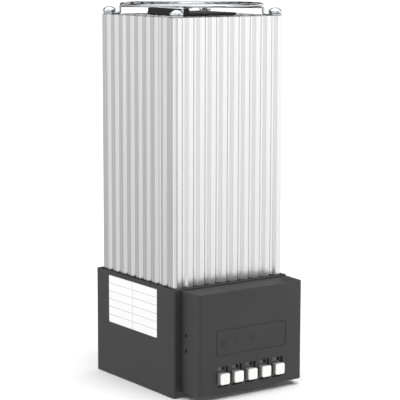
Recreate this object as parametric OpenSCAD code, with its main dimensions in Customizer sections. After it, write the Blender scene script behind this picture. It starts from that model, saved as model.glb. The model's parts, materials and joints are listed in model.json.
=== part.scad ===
// Fan heater for switch cabinets: a square ribbed extrusion on a moulded base with a terminal box.
// Millimetres, +Z up, terminal side towards -Y. The origin is the middle of the overall footprint,
// on the plane on which the heater stands.

/* [Heat sink] */
// Side of the square extrusion
sink_w = 79; // [77:0.5:84]
// Height of the extrusion's top end above the standing plane
sink_top = 222; // [180:1:260]
// Thickness of the outer wall
sink_wall = 3; // [2.4:0.1:4]
// Radius of the outer corners
sink_r = 2; // [1:0.5:3]
// Distance between the grooves on front and back
groove_pitch = 8.1; // [6:0.05:8.25]
// Number of grooves on front and back
groove_n = 9; // [5:2:9]
// Distance between the grooves on the left and right sides
side_pitch = 8.55; // [6:0.05:9]
// Number of grooves on the left and right sides
side_n = 8; // [4:2:8]
// Width of a groove at its mouth
groove_w = 4.6; // [3:0.1:5]
// Width of a groove's floor
groove_floor = 1.6; // [0.8:0.1:2.4]
// Depth of a groove
groove_d = 1.2; // [0.5:0.1:1.6]
// Distance of the fine guide line on the left and right sides from their middle
line_at = 24.4; // [24:0.1:25.2]
// Outer side of the core tube that holds the heating cartridge
core_w = 36; // [34:0.5:40]
// Wall of the core tube
core_wall = 2.5; // [2:0.1:3.5]
// Thickness of an inner fin
fin_t = 1.4; // [1:0.1:2]
// Length of an inner fin
fin_len = 11; // [6:0.5:12]
// Distance between the inner fins of one row
fin_pitch = 8; // [7:0.25:9]
// Space left free between the inner fins and the corner webs
fin_margin = 5; // [4:0.5:8]
// Thickness of the diagonal webs
web_t = 2; // [1.5:0.1:3]
// Width of the screw boss in each corner
boss_w = 8; // [7:0.5:10]

/* [Base] */
// Height of the rim above the standing plane
base_h = 65; // [60:0.5:80]
// Wall thickness at the sides and the front
base_wall = 1.8; // [1.4:0.1:2.6]
// Wall thickness at the back
base_back = 2.8; // [1.8:0.1:4]
// Gap between the tub's wall and what stands in it
tub_gap = 0.2; // [0.1:0.05:0.5]
// Radius of the upright edges
base_r = 1.5; // [0.5:0.25:3]
// Depth of the extrusion below the rim
sink_seat = 7; // [4:0.5:9]
// Side of the corner columns between fan and extrusion
col_w = 10; // [8.5:0.5:12]
// Width of the window for the leads in the front wall
window_w = 50; // [40:1:56]
// Upper edge of that window below the extrusion's seat
window_drop = 4; // [2:0.5:6]
// Lower edge of that window above the screw bosses
window_rise = 1.5; // [0.5:0.1:3]

/* [Fan] */
// Width by which the fan is wider than the extrusion
fan_over = 1; // [-2:0.25:3]
// Thickness of the fan
fan_h = 25; // [24:0.5:30]
// Height of the fan's underside above the standing plane
fan_lift = 9.5; // [9:0.25:12]
// Thickness of the frame's flanges
fan_flange = 3.8; // [2.5:0.1:6]
// Distance of the air duct from the frame's edge
duct_edge = 2; // [1.8:0.1:4]
// Wall of the duct
duct_wall = 1.4; // [1:0.1:2]
// Radius of the frame's corners
fan_r = 4; // [2:0.5:5]
// Distance of the screw holes from the frame's edge
hole_edge = 4.25; // [4:0.05:5]
// Diameter of the rotor's hub
hub_d = 37; // [34:0.5:40]
// Wall of the hub
hub_wall = 2; // [1.5:0.1:2.5]
// Number of blades
blade_n = 7; // [5:1:9]
// Thickness of a blade
blade_t = 1.5; // [1:0.1:2]
// Radius of a blade's camber
blade_camber = 36; // [32:1:44]
// Pitch of a blade at its middle
blade_pitch = 40; // [34:1:46]
// Gap between blade tip and duct
tip_gap = 0.8; // [0.5:0.1:1.5]
// Diameter of the rotor's shaft
shaft_d = 3; // [2.5:0.1:4]
// Wall of the bearing tube
tube_wall = 1.5; // [1.2:0.1:2]
// Thickness of the motor plate and its struts
plate_t = 2.5; // [2:0.1:3.5]

/* [Guards and screws] */
// Diameter of the guard's wire
wire_d = 1.6; // [1.2:0.1:2]
// Radius of the outlet guard's outer ring
guard_r = 42.3; // [38:0.1:43]
// Distance of the intake guard's outer ring from the tub's wall
intake_edge = 3.2; // [2.5:0.1:6]
// Radial distance between the rings
ring_step = 6.1; // [5:0.1:6.5]
// Number of rings
ring_n = 6; // [4:1:6]
// Height of the rings above the face that the guard stands on
guard_rise = 6.3; // [5.5:0.1:7]
// Depth to which rings and spokes are welded into each other
weld = 0.3; // [0.2:0.05:0.5]
// Radius of the bends in the spokes
wire_bend = 1.2; // [1.1:0.1:1.8]
// Sideways distance of each spoke from the line to its screw
spoke_shift = 2; // [0:0.1:2.2]
// Diameter of the screws
screw_d = 3.9; // [3.4:0.1:4]
// Gap round the screws in fan and base, on the radius
screw_play = 0.25; // [0.15:0.05:0.5]
// Diameter of the screw heads
head_d = 8; // [7:0.1:8.5]
// Height of the screw heads
head_h = 3.1; // [2.4:0.1:3.6]
// Length of the cylindrical part of a head
head_edge = 1.2; // [0.6:0.1:1.6]
// Depth to which the screws reach into the extrusion
screw_grip = 14; // [8:0.5:20]

/* [Heating element] */
// Width of the lead duct beside the cartridge
lead_duct = 4; // [3:0.25:5]
// Gap between the cartridge and the core tube
core_gap = 0.1; // [0.05:0.05:0.3]
// Width by which the caps stand over the core tube on each side
cap_over = 1.4; // [0.5:0.1:2]
// Radius of the caps' corners
cap_r = 1; // [0.5:0.1:3]
// Thickness of the cap's plate
cap_t = 1.6; // [1:0.1:2.5]
// Depth of the caps' plugs in the core tube
plug_h = 9; // [6:0.5:14]
// Width of the raised rib on the upper cap
rib_w = 5; // [4:0.25:8]
// Height of that rib above the extrusion
rib_h = 4.1; // [2.5:0.1:4.3]
// Thickness of the lower cap's flange
foot_t = 2.5; // [1.5:0.1:4]
// Length of the thermal cut-out
cutout_h = 18; // [12:0.5:24]
// Width of the thermal cut-out
cutout_w = 10; // [8:0.5:14]
// Distance of the cut-out below the upper cap's plug
cutout_drop = 6; // [2:0.5:20]

/* [Terminal box] */
// Width of the box where it meets the base
box_w = 79; // [74:0.5:80]
// Depth of the box in front of the base
box_depth = 16.4; // [15:0.2:22]
// Height of its underside above the standing plane
box_z0 = 3.5; // [2:0.25:5]
// Distance of its top below the base's rim
box_drop = 0.8; // [0.4:0.1:3]
// Wall thickness of the box
box_wall = 2; // [1.5:0.1:2.4]
// Taper of each side from back to front
box_draft = 1.2; // [0:0.1:2]
// Radius of the upright front edges
box_r = 2.5; // [1:0.25:4]
// Width of the engraved panel
panel_w = 51.4; // [30:0.2:56]
// Height of the engraved panel
panel_h = 15.6; // [8:0.2:18]
// Height of the panel's lower edge above the standing plane
panel_z0 = 26.1; // [24:0.1:34]
// Width of the panel's engraved line
line_w = 0.5; // [0.3:0.1:1]
// Depth of the panel's engraved line
line_d = 0.3; // [0.1:0.05:0.6]
// Diameter of the snap holes in the sides
snap_d = 2; // [1.4:0.1:3]
// Height of the lower snap hole above the standing plane
snap_z = 29.1; // [26:0.1:32]
// Distance between the two snap holes of one side
snap_pitch = 9.2; // [6:0.1:12]
// Distance of the snap holes in front of the base
snap_y = 4.6; // [3:0.1:7]

/* [Terminals] */
// Distance between the poles
pole_pitch = 10.2; // [10:0.1:10.6]
// Offset of the row of poles from the middle of the box
pole_shift = -0.6; // [-1.5:0.1:1.5]
// Width and height of a button
button_w = 6.7; // [5.5:0.1:6.9]
// Distance by which a button stands out of the box
button_out = 2.9; // [2.6:0.1:4]
// Travel of a button
button_travel = 2.2; // [1.5:0.1:2.4]
// Height of a button's lower side above the standing plane
button_z0 = 9.35; // [8.5:0.05:11]
// Radius of the button's corners
button_r = 1.2; // [0.5:0.1:2]
// Gap round a button in its guide
button_gap = 0.2; // [0.1:0.05:0.35]
// Width of the retaining shoulder on each side of a button
shoulder = 0.6; // [0.5:0.05:0.8]
// Thickness of that shoulder
shoulder_t = 1.5; // [1:0.1:2]
// Gap between a button and the sides of its opening
opening_gap = 0.3; // [0.25:0.05:0.6]
// Room above a button for the wire entry
entry_room = 3.6; // [3.5:0.1:5]
// Room below a button in its opening
opening_drop = 1.7; // [0.3:0.1:2]
// Diameter of the wire entry
entry_d = 2.4; // [2:0.1:2.8]
// Distance of the wire entry to the right of its button's middle
entry_shift = 2; // [0:0.1:2.2]
// Thickness of the guide in front of the clamp chamber
guide_t = 4.3; // [3:0.1:5]
// Height of the block's top above the standing plane
block_top = 30; // [27:0.5:34]
// Thickness of the contact bars
bar_t = 0.8; // [0.6:0.1:1.2]
// Width of the contact bars
bar_w = 5; // [4:0.25:6]
// Thickness of the leaf springs
spring_t = 0.4; // [0.3:0.05:0.5]
// Width of the leaf springs
spring_w = 4; // [3:0.25:5]
// Diameter of the block's fixing screws
block_screw_d = 2.9; // [2.5:0.1:3.2]

/* [Rail clip] */
// Height of the mounting rail's middle above the standing plane
rail_z = 140; // [110:1:180]
// Height of the mounting rail
rail_h = 35; // [30:0.5:40]
// Thickness of the rail's lip
lip_t = 1; // [0.8:0.1:1.5]
// Play of the rail in the clip
rail_play = 0.5; // [0.2:0.1:1]
// Width of the clip
clip_w = 40; // [34:1:50]
// Thickness of the clip's steel
clip_t = 1.5; // [1:0.1:2]
// Length by which the hooks reach over the lip
hook_len = 4; // [2.5:0.1:4.5]
// Length of the release tail below the lower hook
tail_len = 8; // [5:0.5:12]
// Diameter of the clip's screws
clip_screw_d = 2.9; // [2.4:0.1:3]

/* [Label] */
// Width of the label
label_w = 52.8; // [30:0.2:70]
// Height of the label
label_h = 29.5; // [15:0.5:30]
// Thickness of the label
label_t = 0.15; // [0.1:0.01:0.2]
// Distance of the label's upper edge below the base's rim
label_drop = 2.2; // [1:0.1:20]
// Offset of the label's middle towards the back
label_shift = 1.8; // [-6:0.1:6]

/* [Leads] */
// Outer diameter of the heater, cut-out and earth leads
lead_d = 2; // [1.5:0.1:2.4]
// Outer diameter of the fan's leads
fan_lead_d = 1.4; // [1:0.1:1.8]

/* [Hidden] */
$fn = 48;
// Number of poles
pole_n = 5;
// Small overlap of joined shapes, and overshoot of cuts
eps = 0.01;
over = 1;
// Running clearance of shaft and bearings, on the radius
run_gap = 0.04;
// Clearance of pieces that are pressed into each other, on the radius
press_gap = 0.01;
// Clearance between a screw and its thread, on the radius
thread_gap = 0.05;
// Clearance between pieces that are slid into each other
slide_gap = 0.1;
// Clearance between pieces that snap into each other
snap_gap = 0.2;
// Head of the small screws: diameter, height, cylindrical part
small_head = [5.6, 2.2, 0.8];
// Room in front of a small screw's tip
tip_room = 1;

sink_half = sink_w / 2;
sink_in = sink_half - sink_wall;
fan_w = sink_w + fan_over;
duct_d = fan_w - 2 * duct_edge;
hole_pos = fan_w / 2 - hole_edge;
hole_d = screw_d + 2 * screw_play;
channel_d = screw_d + 2 * thread_gap;
tub_half = max(sink_half, fan_w / 2, hole_pos + head_d / 2) + tub_gap;
base_half = tub_half + base_wall;
back_y = tub_half + base_back;
intake_r = tub_half - intake_edge;
sink_z0 = base_h - sink_seat;
core_in = core_w / 2 - core_wall;
cap_w = core_w + 2 * cap_over;
fan_top = fan_lift + fan_h;
plate_z = fan_top - plate_t;
box_top = base_h - box_drop;
box_x1 = base_half;
box_x0 = base_half - box_w;
box_mid = (box_x0 + box_x1) / 2;
box_front = -base_half - box_depth;
clip_y = sink_half + clip_t;
hook_gap = lip_t + rail_play;
opening_w = button_w + 2 * opening_gap;
opening_z0 = button_z0 - opening_drop;
opening_h = opening_drop + button_w + entry_room - button_gap;
// The clip's screws stand between two inner fins
clip_screw_x = 1.5 * fin_pitch;
label_z0 = base_h - label_drop - label_h;
clip_back = clip_y + hook_gap + clip_t;
guard_out = guard_r + wire_d / 2;
// Shift that brings the middle of the overall footprint to the origin
shift_y = (button_out - box_front - max(clip_back, back_y, guard_out)) / 2;
shift_x = (max(base_half + label_t, guard_out) - max(base_half, guard_out)) / 2;

function corners(p) = [for (x = [-p, p], y = [-p, p]) [x, y]];
function pole_x(i) = box_mid + pole_shift + (i - (pole_n - 1) / 2) * pole_pitch;
function unit(v) = v / norm(v);

module place() {
    translate([shift_x, shift_y, 0])
        children();
}

// Rectangle with round corners, centred
module round_rect(w, d, r) {
    square([w - 2 * r, d], center = true);
    square([w, d - 2 * r], center = true);
    for (x = [-1, 1], y = [-1, 1])
        translate([x * (w / 2 - r), y * (d / 2 - r)])
            circle(r);
}

// Ring along Z
module tube(ro, ri, h) {
    difference() {
        cylinder(r = ro, h = h);
        translate([0, 0, -over])
            cylinder(r = ri, h = h + 2 * over);
    }
}

// Heat sink: one extruded section

// Inner fins of one side: on the wall, on the core tube, and the shortest one that is made
wall_fin_n = 7;
core_fin_n = 4;
fin_min = 3;
// Fine guide line: width at its mouth, width of its floor, depth
guide_w = 1.3;
guide_floor = 0.3;
guide_d = 0.7;

// Length of an inner fin, shorter towards the diagonal webs
function wall_fin(x) = min(fin_len, sink_in - abs(x) - fin_margin);

module sink_section() {
    difference() {
        union() {
            difference() {
                round_rect(sink_w, sink_w, sink_r);
                square(2 * sink_in, center = true);
            }
            difference() {
                square(core_w, center = true);
                square(2 * core_in, center = true);
            }
            for (a = [0:90:270])
                rotate(a) {
                    sink_corner();
                    sink_fins();
                }
        }
        for (a = [0, 180]) {
            rotate(a)
                sink_grooves(groove_n, groove_pitch);
            rotate(a + 90) {
                sink_grooves(side_n, side_pitch);
                groove_at(-line_at, guide_w, guide_floor, guide_d);
            }
        }
        for (c = corners(hole_pos))
            translate(c)
                circle(d = channel_d);
    }
}

// Screw boss and diagonal web of one corner
module sink_corner() {
    boss_in = hole_pos - boss_w / 2;
    translate([boss_in, boss_in])
        square(sink_in + eps - boss_in);
    rotate(45)
        translate([core_w / sqrt(2) - web_t, -web_t / 2])
            square([(boss_in + web_t - core_w / 2) * sqrt(2) + web_t, web_t]);
}

// Fins of one side: a row on the wall and a row on the core, set between each other
module sink_fins() {
    for (k = [0:wall_fin_n - 1])
        wall_fin_at((k - (wall_fin_n - 1) / 2) * fin_pitch);
    for (k = [0:core_fin_n - 1])
        translate([(k - (core_fin_n - 1) / 2) * fin_pitch - fin_t / 2, core_w / 2 - eps])
            square([fin_t, fin_len + eps]);
}

module wall_fin_at(x) {
    if (wall_fin(x) > fin_min)
        translate([x - fin_t / 2, sink_in - wall_fin(x)])
            square([fin_t, wall_fin(x) + eps]);
}

// Shallow grooves of one side
module sink_grooves(count, pitch) {
    for (k = [0:count - 1])
        groove_at((k - (count - 1) / 2) * pitch, groove_w, groove_floor, groove_d);
}

// Groove with sloping sides in the outer face
module groove_at(x, mouth, bottom, depth) {
    translate([x, sink_half])
        polygon([[-mouth / 2, over], [-mouth / 2, 0], [-bottom / 2, -depth], [bottom / 2, -depth],
                 [mouth / 2, 0], [mouth / 2, over]]);
}

module heat_sink() {
    color("gainsboro")
        place()
            difference() {
                translate([0, 0, sink_z0])
                    linear_extrude(sink_top - sink_z0)
                        sink_section();
                for (x = [-clip_screw_x, clip_screw_x])
                    translate([x, sink_in - over, rail_z])
                        rotate([-90, 0, 0])
                            cylinder(d = clip_screw_d + 2 * thread_gap, h = sink_wall + 2 * over);
            }
}

// Moulded base

// Ears of the terminal block stand between the outer poles, above the fan's top
ear_mid = box_mid + pole_shift;
ear_x = (pole_n - 2) / 2 * pole_pitch;
ear_w = 7;
ear_t = 3;
ear_up = 5;
ear_z = fan_top + ear_up;
ear_top = 4;
// Screw bosses behind the front wall
screw_boss_r = 3;
screw_boss_h = 5;
// Window for the leads
window_z0 = ear_z + screw_boss_r + window_rise;
window_z1 = sink_z0 - window_drop;
// Tongues that carry the box, with the margin round their pips
tongue_t = 1.8;
tongue_edge = 5;
tongue_h = snap_pitch + 2 * tongue_edge;
tongue_tip = 3;
tongue_y = snap_y + tongue_tip;
tongue_gap = 0.8;
pip_h = 1.2;
// Ring lug of the earth lead
lug_t = 0.8;
lug_d = 8.4;
lug_arm_w = 4;
lug_arm = 12.5;

// Half width of the box's inside at a distance in front of the base
function box_side(y) = box_w / 2 - box_draft * y / box_depth;

module base_shell() {
    difference() {
        translate([0, (back_y - base_half) / 2, 0])
            linear_extrude(base_h)
                round_rect(2 * base_half, base_half + back_y, base_r);
        translate([-tub_half, -tub_half, -over])
            cube([2 * tub_half, 2 * tub_half, base_h + 2 * over]);
        translate([box_mid - window_w / 2, -base_half - over, window_z0])
            cube([window_w, base_wall + 2 * over, window_z1 - window_z0]);
        for (s = [-1, 1])
            translate([ear_mid + s * ear_x, -base_half - over, ear_z])
                rotate([-90, 0, 0])
                    cylinder(d = block_screw_d + 2 * thread_gap, h = base_wall + 2 * over);
    }
}

// Start of a column on the side s of the tub
function column_at(s) = s > 0 ? tub_half - col_w : -tub_half - eps;

module base_columns() {
    for (sx = [-1, 1], sy = [-1, 1])
        difference() {
            translate([column_at(sx), column_at(sy), fan_top])
                cube([col_w + eps, col_w + eps, sink_z0 - fan_top]);
            translate([sx * hole_pos, sy * hole_pos, fan_top - over])
                cylinder(d = hole_d, h = sink_z0 - fan_top + 2 * over);
        }
}

// Bosses behind the front wall for the terminal block's screws
module base_bosses() {
    for (s = [-1, 1])
        translate([ear_mid + s * ear_x, -tub_half - eps, ear_z])
            rotate([-90, 0, 0])
                tube(screw_boss_r, block_screw_d / 2 + thread_gap, screw_boss_h);
}

// Tongue on the base with two pips that reach into the holes of the box's side
module base_tongue(s) {
    side = box_mid + s * (box_side(snap_y) - box_wall);
    outer = s * min(s * side - tongue_gap, base_half - base_r);
    pip = s * (side - outer) + pip_h;
    translate([outer, -base_half, snap_z])
        mirror([s > 0 ? 0 : 1, 0, 0]) {
            translate([-tongue_t, -tongue_y, -tongue_edge])
                cube([tongue_t, tongue_y + eps, tongue_h]);
            for (k = [0, 1])
                translate([-tongue_t / 2, -snap_y, k * snap_pitch])
                    rotate([0, 90, 0])
                        cylinder(d = snap_d - 2 * snap_gap, h = tongue_t / 2 + pip);
        }
}

module base_housing() {
    color("#3c3c3e")
        place()
            difference() {
                union() {
                    base_shell();
                    base_columns();
                    base_bosses();
                    base_tongue(-1);
                    base_tongue(1);
                }
                translate([-hole_pos, -hole_pos, sink_z0 - lug_t])
                    cylinder(d = lug_d + 2 * snap_gap, h = lug_t + over);
                translate([-hole_pos, -hole_pos - lug_arm_w / 2 - snap_gap, sink_z0 - lug_t])
                    cube([lug_arm + over, lug_arm_w + 2 * snap_gap, lug_t + over]);
            }
}

// Terminal box

// Points of a round corner in plan, from one side line to the next
function arc(c, r, a0, a1, n = 8) =
    [for (k = [0:n]) let (a = a0 + (a1 - a0) * k / n) c + r * [cos(a), sin(a)]];

// Smallest radius of the box's inner edges
inner_r = 0.3;

// Plan of the box with its sides and front set in by t
function box_plan(t, back) =
    let (a = atan(box_draft / box_depth),
         r = max(box_r - t, inner_r),
         xb = box_w / 2 - t / cos(a) - box_draft * back / box_depth,
         yf = -box_depth + t,
         xf = box_w / 2 - t / cos(a) - box_draft * (-yf) / box_depth,
         c = [xf - r * (1 - sin(a)) / cos(a), yf + r])
    concat([[-xb, -back], [xb, -back]],
           [for (p = arc(c, r, -a, -90)) p],
           [for (p = arc([-c.x, c.y], r, 270, 180 + a)) p]);

module terminal_cover() {
    color("#3c3c3e")
        place()
            translate([box_mid, -base_half, 0])
                difference() {
                    translate([0, 0, box_z0])
                        linear_extrude(box_top - box_z0)
                            polygon(box_plan(0, 0));
                    translate([0, 0, box_z0 + box_wall])
                        linear_extrude(box_top - box_z0 - 2 * box_wall)
                            polygon(box_plan(box_wall, -over));
                    cover_openings();
                    cover_panel();
                    for (k = [0, 1])
                        translate([-box_w, -snap_y, snap_z + k * snap_pitch])
                            rotate([0, 90, 0])
                                cylinder(d = snap_d, h = 2 * box_w);
                }
}

// Openings for the buttons and the wire entries
module cover_openings() {
    for (i = [0:pole_n - 1])
        translate([pole_x(i) - box_mid - opening_w / 2, -box_depth - over, opening_z0])
            cube([opening_w, box_wall + 2 * over, opening_h]);
}

// Engraved line round the panel
module cover_panel() {
    translate([-panel_w / 2, -box_depth, panel_z0])
        rotate([90, 0, 0])
            translate([0, 0, -line_d])
                linear_extrude(line_d + over)
                    difference() {
                        square([panel_w, panel_h]);
                        translate([line_w, line_w])
                            square([panel_w - 2 * line_w, panel_h - 2 * line_w]);
                    }
}

// Terminal block and what it holds

// Top wall of the block and extra width at its ends
block_wall = 3;
block_end = 1.2;
// Distance of a wire entry from the upper edge of its opening
entry_edge = 0.3;
// Contact bars: distance in front of the base, height above the block, depth in the chamber, foot
tab_in = 5;
tab_up = 2.5;
tab_down = 8;
tab_foot = 3;

block_front = box_front + box_wall + slide_gap;
block_z0 = box_z0 + box_wall;
guide_back = block_front + guide_t;
guide_half = button_w / 2 + button_gap;
chamber_half = guide_half + shoulder + slide_gap;
chamber_z0 = button_z0 - button_gap - shoulder - slide_gap;
chamber_z1 = block_top - block_wall;
// Step in the clamp chamber on which a pressed button stops
stop_y = guide_back + shoulder_t + button_travel + slide_gap;
entry_z = opening_z0 + opening_h - entry_d / 2 - entry_edge;
block_half = pole_n / 2 * pole_pitch + block_end;
tab_y = -base_half - tab_in;
tab_top = block_top + tab_up;

module terminal_block() {
    color("#4a4a4c")
        place()
            difference() {
                union() {
                    translate([ear_mid - block_half, block_front, block_z0])
                        cube([2 * block_half, -base_half - block_front, block_top - block_z0]);
                    for (s = [-1, 1])
                        translate([ear_mid + s * ear_x - ear_w / 2, -base_half - ear_t, block_top - eps])
                            cube([ear_w, ear_t, ear_z + ear_top - block_top]);
                }
                for (i = [0:pole_n - 1])
                    translate([pole_x(i), 0, 0])
                        block_pole();
                for (s = [-1, 1])
                    translate([ear_mid + s * ear_x, -base_half - ear_t - over, ear_z])
                        rotate([-90, 0, 0])
                            cylinder(d = block_screw_d + 2 * thread_gap, h = ear_t + 2 * over);
            }
}

// Space of one pole: guide of the button, wire entry, clamp chamber and slot of the contact bar
module block_pole() {
    translate([-guide_half, block_front - over, button_z0 - button_gap])
        cube([2 * guide_half, guide_t + 2 * over, button_w + 2 * button_gap]);
    translate([entry_shift, block_front - over, entry_z])
        rotate([-90, 0, 0])
            cylinder(d = entry_d, h = guide_t + 2 * over);
    translate([-chamber_half, guide_back, chamber_z0])
        cube([2 * chamber_half, stop_y - guide_back, chamber_z1 - chamber_z0]);
    translate([-guide_half, guide_back, chamber_z0])
        cube([2 * guide_half, over - base_half - guide_back, chamber_z1 - chamber_z0]);
    translate([-bar_w / 2 - slide_gap, tab_y - slide_gap, chamber_z1 - over])
        cube([bar_w + 2 * slide_gap, bar_t + 2 * slide_gap, block_wall + 2 * over]);
}

// Hollow in a button's back: its depth and the wall round it
hollow_d = 3;
button_wall = 1.5;

// One button: a cap with round corners and a retaining shoulder behind the guide
module push_button(i) {
    length = guide_back - box_front + button_out;
    color("white")
        place()
            translate([pole_x(i), box_front - button_out, button_z0 + button_w / 2])
                rotate([-90, 0, 0])
                    difference() {
                        union() {
                            linear_extrude(length + shoulder_t)
                                round_rect(button_w, button_w, button_r);
                            translate([-button_w / 2 - shoulder, -button_w / 2 - shoulder, length])
                                cube([button_w + 2 * shoulder, button_w + 2 * shoulder, shoulder_t]);
                        }
                        translate([0, 0, length + shoulder_t - hollow_d])
                            linear_extrude(hollow_d + over)
                                square(button_w - 2 * button_wall, center = true);
                    }
}

module push_button_1() { push_button(0); }
module push_button_2() { push_button(1); }
module push_button_3() { push_button(2); }
module push_button_4() { push_button(3); }
module push_button_5() { push_button(4); }

// Contact bars: a tab through the block's top and a clamping foot in each chamber
module contact_bars() {
    color("#c9a24a")
        place()
            for (i = [0:pole_n - 1])
                translate([pole_x(i), 0, 0]) {
                    translate([-bar_w / 2, tab_y, chamber_z1 - tab_down])
                        cube([bar_w, bar_t, tab_top - chamber_z1 + tab_down]);
                    translate([-bar_w / 2, tab_y - tab_foot, chamber_z1 - tab_down - bar_t + eps])
                        cube([bar_w, tab_foot + bar_t, bar_t]);
                }
}

// Leaf springs: rounding of the bend, its rise over the button's middle, length of the foot
spring_bend = 1;
spring_rise = 2;
spring_foot = 4;
spring_back = 0.5;

// Leaf springs: each stands on its chamber's floor and presses on the back of its button
module clamp_springs() {
    front = guide_back + shoulder_t + slide_gap;
    rear = -base_half - spring_back;
    low = chamber_z0;
    mid = button_z0 + button_w / 2;
    high = mid + spring_rise;
    tip = high - spring_bend;
    knee = rear - spring_bend;
    inner = rear - spring_t;
    toe = rear - spring_foot;
    outline = [[rear, low], [rear, mid], [knee, high], [front, tip], [front, tip - spring_t],
               [knee - spring_t / 2, high - 1.25 * spring_t], [inner, mid - spring_t / 2],
               [inner, low + spring_t], [toe, low + spring_t], [toe, low]];
    color("silver")
        place()
            for (i = [0:pole_n - 1])
                translate([pole_x(i) - spring_w / 2, 0, 0])
                    rotate([90, 0, 90])
                        linear_extrude(spring_w)
                            polygon(outline);
}

// Cross recess of a screw head: length, width and depth as shares of the head
recess_l = 0.58;
recess_w = 0.12;
recess_d = 0.45;

// Pan-head screw along +Z with its head below z = 0
module pan_screw(d, hd, hh, he, len) {
    rise = hh - he;
    dome = (hd * hd / 4 + rise * rise) / (2 * rise);
    difference() {
        union() {
            cylinder(d = d, h = len);
            intersection() {
                translate([0, 0, -hh])
                    cylinder(d = hd, h = hh);
                translate([0, 0, dome - hh])
                    sphere(dome, $fn = 64);
            }
        }
        for (a = [0, 90])
            rotate(a)
                translate([-hd * recess_l / 2, -hd * recess_w / 2, -hh - over])
                    cube([hd * recess_l, hd * recess_w, hh * recess_d + over]);
    }
}

module terminal_screws() {
    color("silver")
        place()
            for (s = [-1, 1])
                translate([ear_mid + s * ear_x, -base_half - ear_t, ear_z])
                    rotate([-90, 0, 0])
                        pan_screw(block_screw_d, small_head[0], small_head[1], small_head[2],
                                  ear_t + base_wall + screw_boss_h - tip_room);
}

// Fan

// Bearings: wall and length
bearing_wall = 1.5;
bearing_l = 3;
// Motor: air under the hub and over it, magnet, air gap, end of the stator, wall of its core
hub_lift = 2;
hub_air = 1.5;
magnet_t = 2;
magnet_end = 3;
air_gap = 0.7;
stator_lift = 6.5;
stator_end = 5;
stator_wall = 1.6;
// Stator's poles: width of a pole, thickness and width of its shoe, coil round the pole
pole_w = 3;
shoe_t = 1.8;
shoe_w = 10;
coil_t = 1.15;
coil_gap = 0.05;
coil_end = 1;
coil_room = 0.8;
// Boss on the hub that holds the shaft
hub_boss = 1.6;
hub_boss_h = 2.5;
// Struts of the motor plate: width and overlap with plate and duct
strut_w = 4;
strut_in = 4;
strut_out = 0.5;
plate_edge = 1.5;
// Distance of the shaft's end from the motor plate
shaft_end = 0.4;
// Wall round the frame's screw holes
hole_wall = 1.2;

bearing_r = shaft_d / 2 + bearing_wall;
tube_r = bearing_r + tube_wall;
hub_z0 = fan_lift + hub_lift;
hub_z1 = plate_z - hub_air;
hub_in = hub_d / 2 - hub_wall;
magnet_r = hub_in - magnet_t;
stator_r = magnet_r - air_gap;
stator_z0 = hub_z0 + stator_lift;
stator_h = plate_z - stator_end - stator_z0;
tube_z0 = stator_z0 - coil_end;
blade_r = duct_d / 2 - tip_gap;
// Blades: distance from the hub's ends, half of a blade's length round the axis
blade_low = 0.5;
blade_high = 2.5;
blade_reach = 9;
blade_z0 = hub_z0 + blade_low;
blade_h = hub_z1 - blade_high - blade_z0;

module fan_frame() {
    color("#2b2b2d")
        place()
            translate([0, 0, fan_lift])
                difference() {
                    union() {
                        for (z = [0, fan_h - fan_flange])
                            translate([0, 0, z])
                                linear_extrude(fan_flange)
                                    difference() {
                                        round_rect(fan_w, fan_w, fan_r);
                                        circle(d = duct_d, $fn = 96);
                                    }
                        difference() {
                            cylinder(d = duct_d + 2 * duct_wall, h = fan_h, $fn = 96);
                            translate([0, 0, -over])
                                cylinder(d = duct_d, h = fan_h + 2 * over, $fn = 96);
                        }
                        for (c = corners(hole_pos))
                            translate(c)
                                tube(hole_d / 2 + hole_wall, hole_d / 2 - eps, fan_h);
                        fan_motor_plate();
                    }
                    for (c = corners(hole_pos))
                        translate([c.x, c.y, -over])
                            cylinder(d = hole_d, h = fan_h + 2 * over);
                }
}

// Motor plate on four struts, with the bearing tube below it
module fan_motor_plate() {
    translate([0, 0, plate_z - fan_lift])
        cylinder(r = hub_d / 2 - plate_edge, h = plate_t);
    for (a = [0:90:270])
        rotate(a)
            translate([hub_d / 2 - strut_in, -strut_w / 2, plate_z - fan_lift])
                cube([duct_d / 2 + strut_out - hub_d / 2 + strut_in, strut_w, plate_t]);
    translate([0, 0, tube_z0 - fan_lift])
        tube(tube_r, bearing_r + press_gap, plate_z - tube_z0 + eps);
}

module fan_rotor() {
    color("#232325")
        place()
            difference() {
                union() {
                    translate([0, 0, hub_z0])
                        cylinder(d = hub_d, h = hub_z1 - hub_z0);
                    for (k = [0:blade_n - 1])
                        rotate(k * 360 / blade_n)
                            fan_blade();
                }
                difference() {
                    translate([0, 0, hub_z0 + hub_wall])
                        cylinder(r = hub_in, h = hub_z1 - hub_z0);
                    translate([0, 0, hub_z0])
                        cylinder(r = shaft_d / 2 + hub_boss, h = hub_wall + hub_boss_h);
                }
                translate([0, 0, hub_z0 + hub_wall])
                    cylinder(d = shaft_d + 2 * press_gap, h = hub_z1);
            }
}

// One blade: a strip of a cambered shell between hub and tip
module fan_blade() {
    zc = blade_z0 + blade_h / 2;
    intersection() {
        translate([0, blade_camber * sin(blade_pitch), zc - blade_camber * cos(blade_pitch)])
            rotate([0, 90, 0])
                difference() {
                    cylinder(r = blade_camber + blade_t, h = blade_r + over, $fn = 96);
                    translate([0, 0, -over])
                        cylinder(r = blade_camber, h = blade_r + 3 * over, $fn = 96);
                }
        translate([0, -blade_reach, blade_z0])
            cube([blade_r + over, 2 * blade_reach, blade_h]);
        translate([0, 0, blade_z0 - over])
            tube(blade_r, hub_in + hub_wall / 2, blade_h + 2 * over, $fn = 96);
    }
}

module fan_shaft() {
    color("silver")
        place()
            translate([0, 0, hub_z0 + hub_wall])
                cylinder(d = shaft_d, h = plate_z - shaft_end - hub_z0 - hub_wall);
}

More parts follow.
